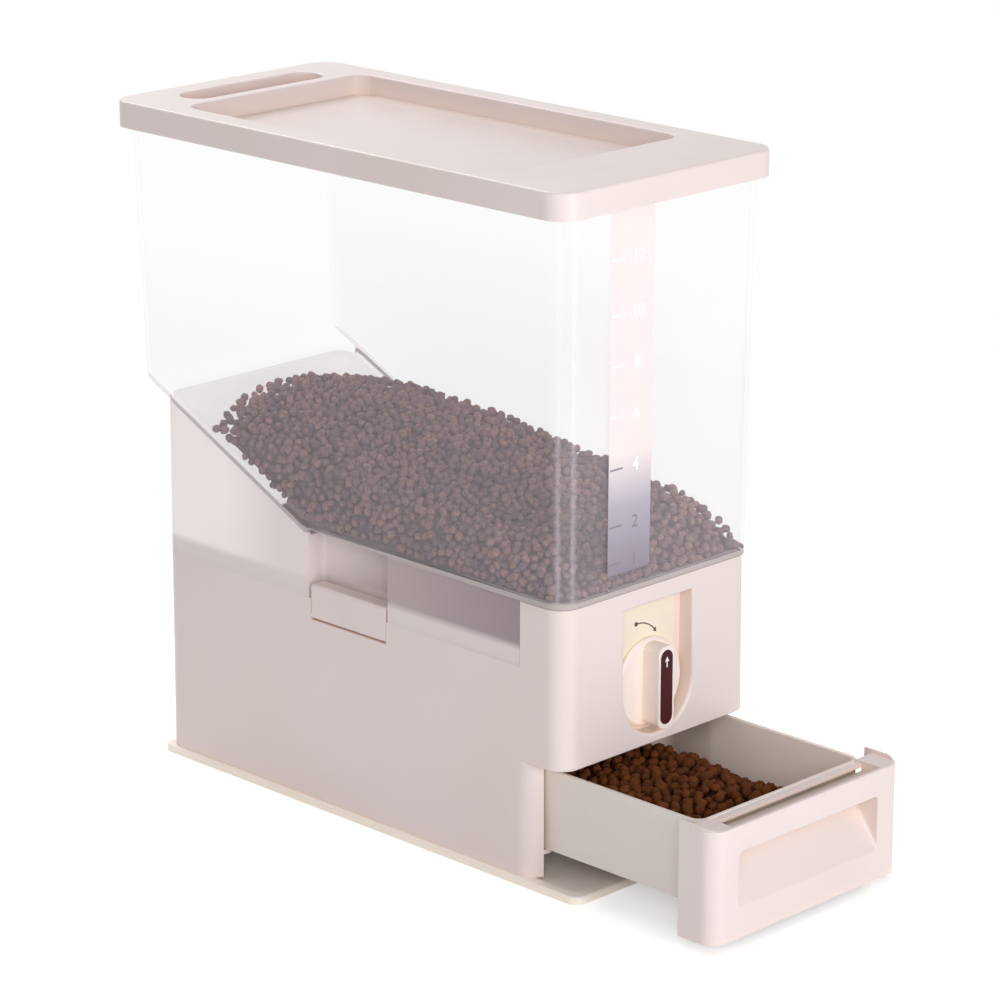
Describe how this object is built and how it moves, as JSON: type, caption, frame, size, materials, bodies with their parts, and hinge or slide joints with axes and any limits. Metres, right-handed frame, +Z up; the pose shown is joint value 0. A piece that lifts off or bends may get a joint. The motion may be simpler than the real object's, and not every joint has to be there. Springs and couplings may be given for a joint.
{
  "type": "pet food storage container",
  "caption": "Dry pet food container: clear hopper with lift-off lid on an opaque base, with a front metering knob, side latches and a pull-out drawer.",
  "frame": {"origin": "centre of the plinth's underside, on the table", "axes": "+X to the right, +Y to the back, +Z up; the knob and the drawer are on the -Y side"},
  "size_m": [0.19, 0.5208, 0.44],
  "materials": {
    "cream_plastic": "fine matte",
    "clear_plastic": "clear, slightly hazy",
    "bin_plastic": "translucent, frosted",
    "dial_plastic": "satin",
    "dark_plastic": "satin",
    "white_plastic": "matte",
    "soft_rubber": "soft matte",
    "steel": "plated"
  },
  "bodies": {
    "base": {"base_housing": "cream_plastic", "base_plate": "cream_plastic", "hopper": "clear_plastic", "outlet_seal": "soft_rubber", "dial_plate": "dial_plastic", "rotor_housing": "white_plastic", "rotor_cover": "white_plastic", "front_bush": "white_plastic", "rear_bush": "white_plastic", "wiper_strip": "soft_rubber", "base_screws": "steel", "housing_screws": "steel", "cover_screws": "steel"},
    "lid": {"lid": "cream_plastic"},
    "dispenser": {"knob": "cream_plastic", "knob_insert": "dark_plastic", "knob_screw": "steel", "rotor_shaft": "white_plastic", "metering_rotor": "white_plastic", "shaft_clip": "steel"},
    "drawer": {"drawer_bin": "bin_plastic", "drawer_front": "cream_plastic", "drawer_screws": "steel"},
    "latch_left": {"latch_left": "cream_plastic"},
    "latch_right": {"latch_right": "cream_plastic"}
  },
  "joints": [
    {"name": "lid_lift", "type": "slide", "parent": "base", "child": "lid", "axis": [0, 0, 1], "range_m": [0, 0.06]},
    {"name": "drawer_slide", "type": "slide", "parent": "base", "child": "drawer", "axis": [0, 1, 0], "range_m": [-0.0216, 0.1244]},
    {"name": "knob_turn", "type": "hinge", "parent": "base", "child": "dispenser", "pos_m": [0, -0.1668, 0.117], "axis": [0, 1, 0], "continuous": true},
    {"name": "latch_left_swing", "type": "hinge", "parent": "base", "child": "latch_left", "pos_m": [-0.08185, 0.0113, 0.1298], "axis": [0, -1, 0], "range_deg": [0, 75]},
    {"name": "latch_right_swing", "type": "hinge", "parent": "base", "child": "latch_right", "pos_m": [0.08185, 0.0113, 0.1298], "axis": [0, 1, 0], "range_deg": [0, 75]}
  ]
}
